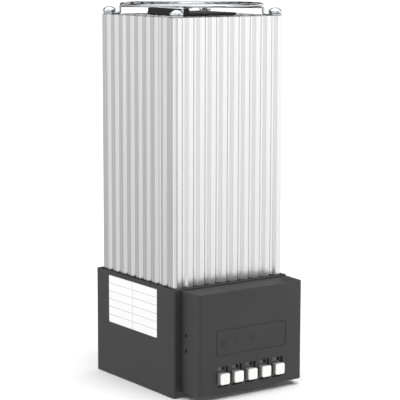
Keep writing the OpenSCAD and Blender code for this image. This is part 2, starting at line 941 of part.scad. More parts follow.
module fan_magnet() {
    color("#4d4d50")
        place()
            translate([0, 0, hub_z0 + hub_wall])
                tube(hub_in - press_gap, magnet_r, hub_z1 - magnet_end - hub_z0 - hub_wall);
}

// Stator: a core with four poles on the bearing tube
module fan_stator() {
    color("#8f9296")
        place()
            translate([0, 0, stator_z0])
                linear_extrude(stator_h)
                    difference() {
                        union() {
                            circle(tube_r + stator_wall);
                            for (a = [0, 90])
                                rotate(a)
                                    square([2 * stator_r - shoe_t, pole_w], center = true);
                            for (a = [0:90:270])
                                rotate(a)
                                    intersection() {
                                        difference() {
                                            circle(stator_r);
                                            circle(stator_r - shoe_t);
                                        }
                                        translate([0, -shoe_w / 2])
                                            square([stator_r + over, shoe_w]);
                                    }
                        }
                        circle(tube_r + press_gap);
                    }
}

// Windings: one coil round each pole
module fan_windings() {
    w0 = tube_r + stator_wall + coil_room;
    w1 = stator_r - shoe_t - coil_room;
    inner = pole_w / 2 + coil_gap;
    outer = inner + coil_t;
    color("#b06a34")
        place()
            for (a = [0:90:270])
                rotate(a)
                    difference() {
                        translate([w0, -outer, stator_z0 - coil_end])
                            cube([w1 - w0, 2 * outer, stator_h + 2 * coil_end]);
                        translate([w0 - over, -inner, stator_z0 - coil_gap])
                            cube([w1 - w0 + 2 * over, 2 * inner, stator_h + 2 * coil_gap]);
                    }
}

module fan_bearings() {
    color("#a9a9a9")
        place()
            for (z = [tube_z0, plate_z - bearing_l])
                translate([0, 0, z])
                    tube(bearing_r, shaft_d / 2 + run_gap, bearing_l);
}

// Wire guards

// Quarter bend of a wire in the XZ plane, from +X to +Z round the point [0, 0, bend radius]
module wire_elbow() {
    rotate([90, 0, 0])
        translate([0, wire_bend, 0])
            rotate(-90)
                rotate_extrude(angle = 90)
                    translate([wire_bend, 0])
                        circle(d = wire_d, $fn = 24);
}

// Gap between ring and leg, least length of legs and feet round their bends, end of a spoke inside its ring
leg_gap = 0.1;
foot_min = 2 * wire_bend + 0.1;
spoke_tip = 1;

// Guard on feet: rings welded on four spokes, each bent down to an eye for its screw
module wire_guard(r_out) {
    eye_at = hole_pos * sqrt(2);
    eye_r = screw_d / 2 + screw_play + wire_d / 2;
    // Where a foot meets its eye, along the line to the screw
    foot_end = eye_at - sqrt(eye_r * eye_r - spoke_shift * spoke_shift);
    // The leg stands outside the outer ring, or next to the eye where the ring is wider than that
    leg = min(r_out + leg_gap, foot_end - foot_min) + wire_bend;
    spoke_end = max(leg - wire_bend, r_out);
    foot_z = wire_d / 2;
    spoke_z = guard_rise - wire_d + weld;
    inner = r_out - (ring_n - 1) * ring_step;
    for (k = [0:ring_n - 1])
        translate([0, 0, guard_rise])
            rotate_extrude()
                translate([r_out - k * ring_step, 0])
                    circle(d = wire_d, $fn = 24);
    for (a = [45:90:315])
        rotate(a) {
            // Both spokes of a diagonal lie on the same side of it
            translate([0, cos(a) < 0 ? spoke_shift : -spoke_shift, 0]) {
                translate([inner - spoke_tip, 0, spoke_z])
                    rotate([0, 90, 0])
                        cylinder(d = wire_d, h = spoke_end - inner + spoke_tip, $fn = 24);
                translate([leg - wire_bend, 0, spoke_z])
                    mirror([0, 0, 1])
                        wire_elbow();
                translate([leg, 0, foot_z + wire_bend])
                    cylinder(d = wire_d, h = spoke_z - foot_z - 2 * wire_bend, $fn = 24);
                translate([leg + wire_bend, 0, foot_z])
                    mirror([1, 0, 0])
                        wire_elbow();
                translate([leg + wire_bend, 0, foot_z])
                    rotate([0, 90, 0])
                        cylinder(d = wire_d, h = foot_end - leg - wire_bend, $fn = 24);
            }
            translate([eye_at, 0, foot_z])
                rotate_extrude()
                    translate([eye_r, 0])
                        circle(d = wire_d, $fn = 24);
        }
}

module finger_guard() {
    color("#d5d7da")
        place()
            translate([0, 0, sink_top])
                wire_guard(guard_r);
}

module intake_guard() {
    color("#d5d7da")
        place()
            translate([0, 0, fan_lift])
                mirror([0, 0, 1])
                    wire_guard(intake_r);
}

// Four short screws that hold the guard in the screw channels
module guard_screws() {
    color("#d5d7da")
        place()
            for (c = corners(hole_pos))
                translate([c.x, c.y, sink_top + wire_d])
                    mirror([0, 0, 1])
                        pan_screw(screw_d, head_d, head_h, head_edge, wire_d + screw_grip);
}

// Four long screws through intake guard, fan and columns into the screw channels
module stack_screws() {
    color("#d5d7da")
        place()
            for (c = corners(hole_pos))
                translate([c.x, c.y, fan_lift - wire_d])
                    pan_screw(screw_d, head_d, head_h, head_edge, sink_z0 + screw_grip - fan_lift + wire_d);
}

// Heating element

cart_z0 = sink_z0 + plug_h;
cart_z1 = sink_top - plug_h;
cart_x0 = -core_in + lead_duct;
cutout_z1 = cart_z1 - cutout_drop;

module heating_cartridge() {
    color("#c2b9a8")
        place()
            translate([cart_x0, -core_in + core_gap, cart_z0])
                cube([core_in - core_gap - cart_x0, 2 * (core_in - core_gap), cart_z1 - cart_z0]);
}

// Upper cap: plate on the core tube, plug and raised rib over the lead duct
module element_cap() {
    color("#2e2e30")
        place() {
            translate([0, 0, sink_top])
                linear_extrude(cap_t)
                    round_rect(cap_w, cap_w, cap_r);
            translate([-core_in + core_gap, -core_in + core_gap, cart_z1])
                cube([2 * (core_in - core_gap), 2 * (core_in - core_gap), plug_h + eps]);
            translate([-cap_w / 2, -cap_w / 2 + cap_r, sink_top])
                cube([rib_w, cap_w - 2 * cap_r, rib_h]);
        }
}

// Lower cap: flange under the core tube and plug, with holes for the leads
module element_foot() {
    color("#2e2e30")
        place()
            difference() {
                union() {
                    translate([0, 0, sink_z0 - foot_t])
                        linear_extrude(foot_t)
                            round_rect(cap_w, cap_w, cap_r);
                    translate([-core_in + core_gap, -core_in + core_gap, sink_z0 - eps])
                        cube([2 * (core_in - core_gap), 2 * (core_in - core_gap), plug_h + eps]);
                }
                translate([-core_in - over, -cutout_w / 2, sink_z0 - foot_t - over])
                    cube([lead_duct + over, cutout_w, plug_h + foot_t + 2 * over]);
                for (y = [-heater_lead_y, heater_lead_y])
                    translate([heater_lead_x, y, sink_z0 - foot_t - over])
                        cylinder(d = lead_d + 2 * lead_play, h = plug_h + foot_t + 2 * over);
            }
}

module thermal_cutout() {
    color("#6b5a4a")
        place()
            translate([-core_in + slide_gap, -cutout_w / 2, cutout_z1 - cutout_h])
                cube([lead_duct - 2 * slide_gap, cutout_w, cutout_h]);
}

// Leads inside the housing, each a round wire along a route of straight runs and bends

// Places at which the leads leave heater, cut-out and motor
heater_lead_x = 5;
heater_lead_y = 6;
cutout_lead_y = 3;
motor_lead_x = 5;
motor_lead_y = -9;
// Gap round a lead in the lower cap, and radius of a bend in lead diameters
lead_play = 0.3;
bend_ratio = 1.5;
// Offsets of two leads that end on one tab
tab_left = -0.9;
tab_right = 1.6;
// Heights below the lower cap and over the fan at which the leads cross the air space
lead_drop = 5;
lead_layer = 1;
fan_lead_up = 3;
// Distances from the tub's front wall at which the leads turn to the window
turn_heater = 6.2;
turn_fan = 4.2;
turn_far = 10.2;
turn_cutout = 26.2;
turn_1 = 30.2;
turn_2 = 34.2;

duct_x = -core_in + lead_duct / 2;
window_z = (window_z0 + window_z1) / 2;
lead_z = sink_z0 - foot_t - lead_drop;
tab_mid = tab_y + bar_t / 2;

// Place at a distance behind the tub's front wall
function behind(d) = d - tub_half;

function seg(p, i) = unit(p[i + 1] - p[i]);
function tangent(p, i) =
    i == 0 ? seg(p, 0) :
    i == len(p) - 1 ? seg(p, i - 1) :
    unit(seg(p, i - 1) + seg(p, i));

// Normals carried along a route without twist
function carry(p, i = 0, n = [0.3, 0.5, 0.81]) =
    i == len(p) ? [] :
    let (t = tangent(p, i), m = unit(n - (n * t) * t))
    concat([m], carry(p, i + 1, m));

// Route with each inner corner replaced by a short bend
function bends(p, r) = concat([p[0]],
    [for (i = [1:len(p) - 2], k = [0, 0.5, 1])
        let (a = p[i] - r * seg(p, i - 1), b = p[i] + r * seg(p, i))
        (1 - k) * (1 - k) * a + 2 * k * (1 - k) * p[i] + k * k * b],
    [p[len(p) - 1]]);

module lead(route, d) {
    p = bends(route, bend_ratio * d);
    n = carry(p);
    s = 8;
    m = len(p);
    points = [for (i = [0:m - 1], k = [0:s - 1])
        let (t = tangent(p, i), v = cross(t, n[i]))
        p[i] + d / 2 * (cos(360 * k / s) * n[i] + sin(360 * k / s) * v)];
    sides = [for (i = [0:m - 2], k = [0:s - 1], h = [0, 1])
        let (a = i * s + k, b = i * s + (k + 1) % s)
        h == 0 ? [a, a + s, b + s] : [a, b + s, b]];
    ends = [[for (k = [0:s - 1]) k], [for (k = [s - 1:-1:0]) (m - 1) * s + k]];
    polyhedron(points, concat(sides, ends));
}

// Route from a turn in the air space through the window to a contact's tab
function to_tab(i, dx, turn, z = window_z) =
    let (x = pole_x(i) + dx)
    [[x, behind(turn), z], [x, tab_mid, z], [x, tab_mid, tab_top]];

// Route straight down from [x, y, z0] to z1
function down(x, y, z0, z1) = [[x, y, z0], [x, y, z1]];

module heater_leads() {
    x4 = pole_x(4) + tab_left;
    x2 = pole_x(2) + tab_left;
    color("#b23b32")
        place() {
            lead(concat(down(heater_lead_x, -heater_lead_y, cart_z0, lead_z),
                        [[x4, behind(turn_1), lead_z]], to_tab(4, tab_left, turn_heater)), lead_d);
            lead(concat(down(heater_lead_x, heater_lead_y, cart_z0, lead_z),
                        [[x2, behind(turn_2), lead_z]], to_tab(2, tab_left, turn_heater)), lead_d);
        }
}

module cutout_leads() {
    z0 = cutout_z1 - cutout_h;
    z1 = lead_z - lead_layer;
    z2 = z1 - lead_d - lead_layer;
    z3 = z2 - lead_d;
    color("#6a6f78")
        place() {
            lead(concat(down(duct_x, -cutout_lead_y, z0, z1), [[pole_x(1), behind(turn_cutout), z1]],
                        to_tab(1, 0, turn_heater)), lead_d);
            lead(concat(down(duct_x, cutout_lead_y, z0, z2), [[pole_x(3), behind(turn_cutout), z3]],
                        to_tab(3, 0, turn_heater)), lead_d);
        }
}

module fan_leads() {
    z0 = fan_top + fan_lead_up;
    z1 = z0 + lead_layer;
    color("#3a3a3c")
        place() {
            lead(concat(down(motor_lead_x, motor_lead_y, fan_top, z0),
                        [[pole_x(4) + tab_right, behind(turn_far), z1]],
                        to_tab(4, tab_right, turn_fan)), fan_lead_d);
            lead(concat(down(-motor_lead_x, motor_lead_y, fan_top, z0),
                        [[pole_x(2) + tab_right, behind(turn_far), z1]],
                        to_tab(2, tab_right, turn_fan)), fan_lead_d);
        }
}

// Ring lug that the long screw clamps between column and extrusion
module earth_lug() {
    color("#c9a24a")
        place()
            translate([-hole_pos, -hole_pos, sink_z0 - lug_t])
                difference() {
                    union() {
                        cylinder(d = lug_d, h = lug_t);
                        translate([0, -lug_arm_w / 2, 0])
                            cube([lug_arm, lug_arm_w, lug_t]);
                    }
                    translate([0, 0, -over])
                        cylinder(d = hole_d, h = lug_t + 2 * over);
                }
}

module earth_lead() {
    x = -hole_pos + lug_arm - lead_d;
    color("#8fa83a")
        place()
            lead(concat(down(x, -hole_pos, sink_z0 - lug_t, window_z),
                        to_tab(0, 0, tub_half - hole_pos)), lead_d);
}

// Spring clip for the mounting rail

// Slots beside the clip's tongue: width and distance from its sides
slot_w = 2;
slot_edge = 4;
// Gap of the clip's screws, on the radius, and length of their tips behind the wall
clip_gap = 0.15;
clip_tip = 1.5;

module rail_clip() {
    y0 = sink_half;
    y1 = clip_y;
    y2 = clip_y + hook_gap;
    y3 = clip_back;
    top = rail_h / 2 + rail_play / 2;
    edge = top + clip_t;
    lip = top - hook_len;
    tail = top + tail_len;
    color("#9da1a6")
        place()
            difference() {
                translate([-clip_w / 2, 0, rail_z])
                    rotate([90, 0, 90])
                        linear_extrude(clip_w)
                            polygon([[y0, -edge], [y0, edge], [y3, edge], [y3, lip], [y2, lip], [y2, top],
                                     [y1, top], [y1, -top], [y2, -top], [y2, -lip], [y3, -lip],
                                     [y3, -tail], [y2, -tail], [y2, -edge]]);
                for (x = [-clip_screw_x, clip_screw_x])
                    translate([x, y0 - over, rail_z])
                        rotate([-90, 0, 0])
                            cylinder(d = clip_screw_d + 2 * clip_gap, h = clip_t + 2 * over);
                for (x = [-1, 1])
                    translate([x * (clip_w / 2 - slot_edge) - slot_w / 2, y1 - eps, rail_z - edge - over])
                        cube([slot_w, y3 - y1 + over, hook_len + clip_t + 2 * over]);
            }
}

module clip_screws() {
    color("silver")
        place()
            for (x = [-clip_screw_x, clip_screw_x])
                translate([x, clip_y, rail_z])
                    rotate([90, 0, 0])
                        pan_screw(clip_screw_d, small_head[0], small_head[1], small_head[2],
                                  clip_t + sink_wall + clip_tip);
}

// White sticker on the left face of the base
module rating_label() {
    color("whitesmoke")
        place()
            translate([-base_half - label_t, label_shift - label_w / 2, label_z0])
                cube([label_t, label_w, label_h]);
}

heat_sink();
base_housing();
terminal_cover();
terminal_block();
push_button_1();
push_button_2();
push_button_3();
push_button_4();
push_button_5();
contact_bars();
clamp_springs();
terminal_screws();
fan_frame();
fan_rotor();
fan_shaft();
fan_magnet();
fan_stator();
fan_windings();
fan_bearings();
finger_guard();
guard_screws();
intake_guard();
stack_screws();
heating_cartridge();
element_cap();
element_foot();
thermal_cutout();
heater_leads();
cutout_leads();
fan_leads();
earth_lug();
earth_lead();
rail_clip();
clip_screws();
rating_label();
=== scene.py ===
# %% [markdown]
# # A fan heater for switch cabinets
# A square, ribbed aluminium extrusion stands in a black moulded base. A fan in the base blows air
# through it, past a heating cartridge in its core, and out through a chromed wire guard at the top.
# The solids come packed from the part's source in one frame: millimetres there, metres here, +Z up,
# terminal side towards -Y. They stay where they are; this script gives them edges, finishes and light.

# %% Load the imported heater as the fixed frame
import json
from math import pi, radians

import bmesh
import bpy
import numpy as np
from mathutils import Matrix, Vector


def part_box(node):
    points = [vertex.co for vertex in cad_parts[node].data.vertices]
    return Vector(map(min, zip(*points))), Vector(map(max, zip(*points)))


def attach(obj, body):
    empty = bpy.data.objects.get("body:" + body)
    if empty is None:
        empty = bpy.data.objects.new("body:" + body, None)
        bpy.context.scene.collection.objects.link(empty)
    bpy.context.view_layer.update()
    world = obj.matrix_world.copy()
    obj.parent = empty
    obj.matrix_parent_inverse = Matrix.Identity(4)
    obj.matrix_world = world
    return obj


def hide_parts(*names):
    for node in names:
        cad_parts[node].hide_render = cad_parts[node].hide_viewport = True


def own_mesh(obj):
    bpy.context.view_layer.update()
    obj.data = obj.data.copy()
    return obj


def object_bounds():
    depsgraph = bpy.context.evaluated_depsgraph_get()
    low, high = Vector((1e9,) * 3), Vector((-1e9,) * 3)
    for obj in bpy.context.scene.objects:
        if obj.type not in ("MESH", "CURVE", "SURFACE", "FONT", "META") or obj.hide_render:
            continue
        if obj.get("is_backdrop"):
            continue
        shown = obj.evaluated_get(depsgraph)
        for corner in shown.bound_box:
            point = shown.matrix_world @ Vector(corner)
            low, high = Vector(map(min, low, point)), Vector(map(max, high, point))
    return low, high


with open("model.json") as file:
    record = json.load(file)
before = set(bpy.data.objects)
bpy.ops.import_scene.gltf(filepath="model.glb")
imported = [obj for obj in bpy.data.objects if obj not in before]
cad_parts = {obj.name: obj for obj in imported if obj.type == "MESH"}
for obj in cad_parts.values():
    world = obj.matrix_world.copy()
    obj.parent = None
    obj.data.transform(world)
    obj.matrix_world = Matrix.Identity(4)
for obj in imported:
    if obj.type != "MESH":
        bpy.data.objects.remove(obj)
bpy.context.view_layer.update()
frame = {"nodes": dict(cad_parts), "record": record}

MM = 0.001

# %% [markdown]
# ## Camera
# The photograph was taken with a long lens from the front left, a little above the middle of the
# heater. Forty corners of the heater, found in the photograph, gave the focal length, the place and
# the three angles by least squares, so the camera is set from numbers and not by eye.

# %% Camera at the photograph's place
PICTURE_PX = 400
FOCAL_PX = 1574.93
EYE = (-0.54946, -0.77011, 0.25751)
YAW, PITCH, ROLL = radians(-35.5243), radians(8.8469), radians(0.143)

lens = bpy.data.cameras.new("camera")
lens.sensor_width = 36
lens.lens = lens.sensor_width * FOCAL_PX / PICTURE_PX
lens.clip_start, lens.clip_end = 0.01, 100
camera = bpy.data.objects.new("camera", lens)
camera.matrix_world = (Matrix.Translation(EYE) @ Matrix.Rotation(YAW, 4, "Z")
                       @ Matrix.Rotation(pi / 2 - PITCH, 4, "X") @ Matrix.Rotation(ROLL, 4, "Z"))
bpy.context.scene.collection.objects.link(camera)
bpy.context.scene.camera = camera
print("lens, mm:", round(lens.lens, 2))

# %% [markdown]
# ## Nodes and colours
# Every finish below is a small graph of shader nodes. One function adds a node, sets its options and
# fills its sockets with numbers or with links. Colours are written as they are read from a screen,
# in sRGB hex, and one function turns them into the linear values that a shader needs.


# %% Helpers for finishes
def linear(colour):
    """sRGB hex to linear: c / 12.92 up to 0.04045, above that ((c + 0.055) / 1.055) to the power 2.4."""
    c = np.array([int(colour[i:i + 2], 16) / 255 for i in (1, 3, 5)])
    return (*np.where(c <= 0.04045, c / 12.92, ((c + 0.055) / 1.055) ** 2.4), 1.0)


def add(tree, kind, sockets=None, **options):
    """One shader node: options are its own settings, sockets maps input names to values or to outputs."""
    made = tree.nodes.new("ShaderNode" + kind)
    for key, value in options.items():
        setattr(made, key, value)
    for key, value in (sockets or {}).items():
        if isinstance(value, bpy.types.NodeSocket):
            tree.links.new(value, made.inputs[key])
        else:
            made.inputs[key].default_value = value
    return made


def finish(name, **sockets):
    """A new material with one Principled shader, whose constant sockets are set here.

    Returns the material, its node tree and its shader.
    """
    made = bpy.data.materials.new(name)
    made.use_nodes = True
    tree = made.node_tree
    tree.nodes.clear()
    shader = add(tree, "BsdfPrincipled", sockets)
    add(tree, "OutputMaterial", {"Surface": shader.outputs["BSDF"]})
    return made, tree, shader


def per_mm(*sizes):
    """Mapping scale for a pattern whose cells measure these millimetres along X, Y and Z."""
    return tuple(1 / (s * MM) for s in sizes)


print("white #ffffff is", linear("#ffffff")[:3], "in linear light")

# %% [markdown]
# ## Light and floor
# The photograph is a cut-out from a studio with soft light from all round. The finishes tell where
# its light came from: the aluminium's front mirrors a bright wall on the right of the camera, its
# left side a dimmer one, the rounded corner shows a bright panel at the left and a dark gap beside
# the camera, and the chromed wires show a dark backdrop. The world is such a tent: the brightness of
# its walls is given round the compass, and above them, past a dark gap, is a bright ceiling. The
# floor is a pale sheet. The finishes do not mirror the sheet itself: the metal in the photograph gets
# darker downwards, so glossy rays pass the sheet and see walls that fade, and a pale glow far below.

# %% Light tent and lamp
# Brightness of the walls by compass angle, from -180 to 180 degrees, +X at 0 and +Y at 90
WALLS = {-180: 1.65, -166: 1.12, -126: 1.3, -94: 1.25, -88: 0.2, -72: 0.2, -66: 1.58, -38: 1.58,
         0: 1.45, 34: 1.45, 46: 0.03, 74: 0.03, 86: 0.78, 133: 0.78, 148: 1.65, 180: 1.65}
BRIGHTEST, CEILING, FLOOR_GLOW = 1.65, 1.95, 0.85
# Heights are the Z part of a direction: 1 is straight up, 0 level and -1 straight down
GAP_FROM, GAP_FULL, GAP_SHARE = 0.24, 0.36, 0.06
CEILING_FROM, CEILING_FULL = 0.58, 0.74
FADE_END, FADE_SHARE = -0.5, 0.45
GLOW_FROM, GLOW_FULL = -0.3, -0.6

world = bpy.data.worlds.new("light tent")
bpy.context.scene.world = world
world.use_nodes = True
tent = world.node_tree
tent.nodes.clear()
axes = add(tent, "SeparateXYZ", {"Vector": add(tent, "TexCoord").outputs["Generated"]})
compass = add(tent, "Math", {0: axes.outputs["Y"], 1: axes.outputs["X"]}, operation="ARCTAN2")
turn = add(tent, "MapRange", {"Value": compass.outputs["Value"], "From Min": -pi, "From Max": pi})
walls = add(tent, "ValToRGB", {"Fac": turn.outputs["Result"]})
while len(walls.color_ramp.elements) < len(WALLS):
    walls.color_ramp.elements.new(1)
for stop, (angle, value) in zip(walls.color_ramp.elements, WALLS.items()):
    stop.position, stop.color = (angle + 180) / 360, (*[value / BRIGHTEST] * 3, 1)

height = axes.outputs["Z"]
up = add(tent, "MapRange", {"Value": height, "From Min": CEILING_FROM, "From Max": CEILING_FULL},
         interpolation_type="SMOOTHSTEP").outputs["Result"]
gap = add(tent, "MapRange", {"Value": height, "From Min": GAP_FROM, "From Max": GAP_FULL,
                             "To Min": 1.0, "To Max": GAP_SHARE},
          interpolation_type="SMOOTHSTEP").outputs["Result"]
fade = add(tent, "MapRange", {"Value": height, "From Min": FADE_END, "From Max": 0.0,
                              "To Min": FADE_SHARE}).outputs["Result"]
down = add(tent, "MapRange", {"Value": height, "From Min": GLOW_FROM, "From Max": GLOW_FULL},
           interpolation_type="SMOOTHSTEP").outputs["Result"]
dimmed = add(tent, "Math", {0: walls.outputs["Color"], 1: fade}, operation="MULTIPLY").outputs["Value"]
dimmed = add(tent, "Math", {0: dimmed, 1: gap}, operation="MULTIPLY").outputs["Value"]
shade = add(tent, "Mix", {"Factor": up, "A": dimmed, "B": CEILING / BRIGHTEST}).outputs["Result"]
shade = add(tent, "Mix", {"Factor": down, "A": shade, "B": FLOOR_GLOW / BRIGHTEST}).outputs["Result"]
light = add(tent, "Background", {"Color": shade, "Strength": BRIGHTEST})
add(tent, "OutputWorld", {"Surface": light.outputs["Background"]})


def lamp(name, place, target, size, watts):
    """A square area lamp at a place, turned so that its -Z axis looks at the target."""
    data = bpy.data.lights.new(name, "AREA")
    data.shape, data.size, data.energy = "SQUARE", size, watts
    made = bpy.data.objects.new(name, data)
    z = np.subtract(place, target) / np.linalg.norm(np.subtract(place, target))
    x = np.cross((0, 0, 1), z)
    x /= np.linalg.norm(x)
    turn = np.eye(4)
    turn[:3, :3] = np.stack([x, np.cross(z, x), z], axis=1)
    turn[:3, 3] = place
    made.matrix_world = Matrix(turn.tolist())
    bpy.context.scene.collection.objects.link(made)


SOFTBOX_AT, HEATER_MIDDLE = (0.3, -0.5, 1.3), (0, 0, 0.12)
SOFTBOX_SIZE, SOFTBOX_WATTS = 0.9, 4
lamp("softbox_above", SOFTBOX_AT, HEATER_MIDDLE, SOFTBOX_SIZE, SOFTBOX_WATTS)
bpy.context.scene.view_settings.view_transform = "Standard"
bpy.context.scene.view_settings.look = "None"
print("tent with", len(WALLS), "points round the compass")

# %% [markdown]
# ## Surfaces from arrays
# New pieces are grids of points worked out as whole numpy arrays. A profile, given as pairs of
# distances, is carried along a path that lies in one plane: at each point of the path the profile is
# drawn with that plane's normal and with the direction across the path. A circle gives a wire, a
# flat trapezium a raised stroke. The signed volume says which way the faces look, and they are
# turned where it is negative.


# %% Helpers for surfaces
def quads(rows, columns, closed):
    """Corner numbers of a grid's faces; the last column joins the first, and if closed the last row too."""
    r = np.arange(rows if closed else rows - 1)[:, None]
    c = np.arange(columns)[None, :]
    r2, c2 = (r + 1) % rows, (c + 1) % columns
    corners = r * columns + c, r * columns + c2, r2 * columns + c2, r2 * columns + c
    return np.stack(np.broadcast_arrays(*corners), axis=-1).reshape(-1, 4)


def carried(profile, path, normal, closed=False):
    """Profile along a plane path: path + u * normal + v * (tangent x normal), for each pair (u, v)."""
    path, normal = np.asarray(path, float), np.asarray(normal, float)
    step = np.roll(path, -1, 0) - np.roll(path, 1, 0) if closed else np.gradient(path, axis=0)
    across = np.cross(step / np.linalg.norm(step, axis=1, keepdims=True), normal)
    points = path[:, None] + profile[None, :, :1] * normal + profile[None, :, 1:] * across[:, None]
    n, m = len(path), len(profile)
    faces = quads(n, m, closed).tolist()
    if not closed:
        faces += [list(range(m))[::-1], list(range((n - 1) * m, n * m))]
    return points.reshape(-1, 3), faces


def circle(radius, count):
    """Points (r cos a, r sin a) at equal steps of the angle a."""
    a = np.linspace(0, 2 * pi, count, endpoint=False)
    return radius * np.stack([np.cos(a), np.sin(a)], axis=1)


def outward(points, faces):
    """The same faces, turned round if the volume under them, a sum of a . (b x c) / 6, is negative."""
    corners = np.array([[f[0], f[k], f[k + 1]] for f in faces for k in range(1, len(f) - 1)])
    a, b, c = (points[corners[:, k]] for k in range(3))
    return faces if np.einsum("ij,ij->", a, np.cross(b, c)) > 0 else [f[::-1] for f in faces]


body_of = {n: b for b, nodes in frame["record"]["behaviour"]["bodies"].items() for n in nodes}


def piece(name, shells, material, stands_for=None, smooth=True):
    """One object from several (points, faces) shells in millimetres.

    It takes its body from the node that it stands for, and its material is the one given.
    """
    points, faces, start = [], [], 0
    for p, f in shells:
        points.append(p * MM)
        faces += [[i + start for i in face] for face in outward(p, f)]
        start += len(p)
    mesh = bpy.data.meshes.new(name)
    mesh.from_pydata(np.concatenate(points).tolist(), [], faces)
    if smooth:
        mesh.shade_smooth()
    mesh.materials.append(material)
    made = bpy.data.objects.new(name, mesh)
    bpy.context.scene.collection.objects.link(made)
    if stands_for:
        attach(made, body_of[stands_for])
    print(name, "-", len(mesh.polygons), "faces")
    return made


# %% Pale floor
paper, tree, shader = finish("matt_paper_floor", **{"Roughness": 0.9, "Specular IOR Level": 0.2})
place = add(tree, "TexCoord").outputs["Object"]
fibre = add(tree, "TexNoise", {"Vector": place, "Scale": 300, "Detail": 3}).outputs["Fac"]
tone = add(tree, "ValToRGB", {"Fac": fibre})
low_stop, high_stop = tone.color_ramp.elements
low_stop.color, high_stop.color = linear("#f8f8f7"), linear("#fcfcfb")
tree.links.new(tone.outputs["Color"], shader.inputs["Base Color"])

FLOOR_HALF, FLOOR_Z = 15000, -0.05
sheet = np.array([[-1, -1], [1, -1], [1, 1], [-1, 1]]) * FLOOR_HALF
sheet = np.column_stack([sheet, np.full(len(sheet), FLOOR_Z)])
floor = piece("floor", [(sheet, [[0, 1, 2, 3]])], paper, smooth=False)
floor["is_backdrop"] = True
floor.visible_glossy = False  # not mirrored: the tent's lower half stands for it

# %% [markdown]
# ## Finish: anodised aluminium
# The heat sink is pressed hot through a die and then anodised. The die leaves fine lines along the
# whole length, and the oxide film makes the metal satin: it mirrors its surroundings softly, a
# little more blurred across the lines than along them. A noise that is stretched along Z draws the
# lines. Real ones are hundredths of a millimetre apart; at 0.5 mm they still show in the picture.

# %% Anodised aluminium, extruded
aluminium, tree, shader = finish("anodised_aluminium_extruded", **{"Metallic": 1.0})
place = add(tree, "TexCoord").outputs["Object"]
stretched = add(tree, "Mapping", {"Vector": place, "Scale": per_mm(0.5, 0.5, 90)}).outputs["Vector"]
line = add(tree, "TexNoise", {"Vector": stretched, "Scale": 1, "Detail": 2,
                              "Roughness": 0.6}).outputs["Fac"]
tone = add(tree, "ValToRGB", {"Fac": line})
low_stop, high_stop = tone.color_ramp.elements
low_stop.position, high_stop.position = 0.25, 0.75
low_stop.color, high_stop.color = linear("#d2d3d3"), linear("#dededf")
satin = add(tree, "MapRange", {"Value": line, "To Min": 0.20, "To Max": 0.28}).outputs["Result"]
relief = add(tree, "Bump", {"Height": line, "Strength": 0.12, "Distance": 0.05 * MM}).outputs["Normal"]
for socket, source in (("Base Color", tone.outputs["Color"]), ("Roughness", satin),
                       ("Normal", relief)):
    tree.links.new(source, shader.inputs[socket])
print("made", aluminium.name)

# %% [markdown]
# ## Finish: moulded plastics
# Base, box and terminal block are moulded in steel whose surface was spark-eroded. That leaves an
# even, fine grain which scatters light, so the black looks dark grey and has no sharp mirror image.
# The same graph, with another colour, grain and gloss, serves the fan, the caps, the cut-out and the
# smooth white buttons. A real grain is about 0.1 mm; it is drawn three times as coarse, to show.


# %% Plastics from one recipe
FLOW_MM, GRAIN_SHARE, GLOSS_SPREAD = 25, 0.35, 0.05


def moulded(name, dark, light, grain_mm, gloss, depth_mm, ior=1.53):
    """Plastic with a moulded grain: noise of that size moves colour between two tones, and gives relief.

    It also moves the roughness by a tenth. A second noise of FLOW_MM stands for the flow in the mould.
    """
    made, tree, shader = finish(name, **{"IOR": ior})
    place = add(tree, "TexCoord").outputs["Object"]
    grain = add(tree, "TexNoise", {"Vector": place, "Scale": 1 / (grain_mm * MM),
                                   "Detail": 3}).outputs["Fac"]
    flow = add(tree, "TexNoise", {"Vector": place, "Scale": 1 / (FLOW_MM * MM),
                                  "Detail": 2}).outputs["Fac"]
    mixed = add(tree, "Mix", {"Factor": GRAIN_SHARE, "A": flow, "B": grain}).outputs["Result"]
    tone = add(tree, "ValToRGB", {"Fac": mixed})
    low_stop, high_stop = tone.color_ramp.elements
    low_stop.position, high_stop.position = 0.3, 0.7
    low_stop.color, high_stop.color = linear(dark), linear(light)
    rough = add(tree, "MapRange", {"Value": grain, "To Min": gloss - GLOSS_SPREAD,
                                   "To Max": gloss + GLOSS_SPREAD}).outputs["Result"]
    relief = add(tree, "Bump", {"Height": grain, "Strength": 0.5,
                                "Distance": depth_mm * MM}).outputs["Normal"]
    for socket, source in (("Base Color", tone.outputs["Color"]), ("Roughness", rough),
                           ("Normal", relief)):
        tree.links.new(source, shader.inputs[socket])
    print("made", name)
    return made


# Flame-retardant ABS, spark-eroded: dull dark grey
black_abs = moulded("black_abs_spark_eroded", "#282829", "#2e2e2f", 0.3, 0.52, 0.02)
# Polyamide of the terminal block: mid grey, dull
grey_pa = moulded("grey_polyamide_spark_eroded", "#6b6b6c", "#747475", 0.3, 0.5, 0.02)
# Glass-filled PBT of fan and caps: blacker, with faint flow marks
fan_pbt = moulded("black_pbt_glass_filled", "#1d1d1e", "#252526", 0.5, 0.55, 0.03)
# Polished letters on the box: the bare black without grain
polished_abs = moulded("black_abs_polished", "#161617", "#1b1b1c", 0.8, 0.35, 0.002)
# Polyacetal of the buttons: smooth, bright and a little waxy
white_pom = moulded("white_polyacetal_moulded", "#f2f2f0", "#f8f8f6", 0.8, 0.32, 0.004, 1.48)
# Phenolic case of the cut-out: brown and dull
phenolic = moulded("brown_phenolic_pressed", "#4a3a2c", "#5c4a38", 0.4, 0.5, 0.03, 1.6)
# Sintered ferrite of the rotor's magnet: dark grey, slightly rough
ferrite = moulded("grey_ferrite_sintered", "#2c2c30", "#3a3a3e", 0.3, 0.6, 0.03, 1.9)
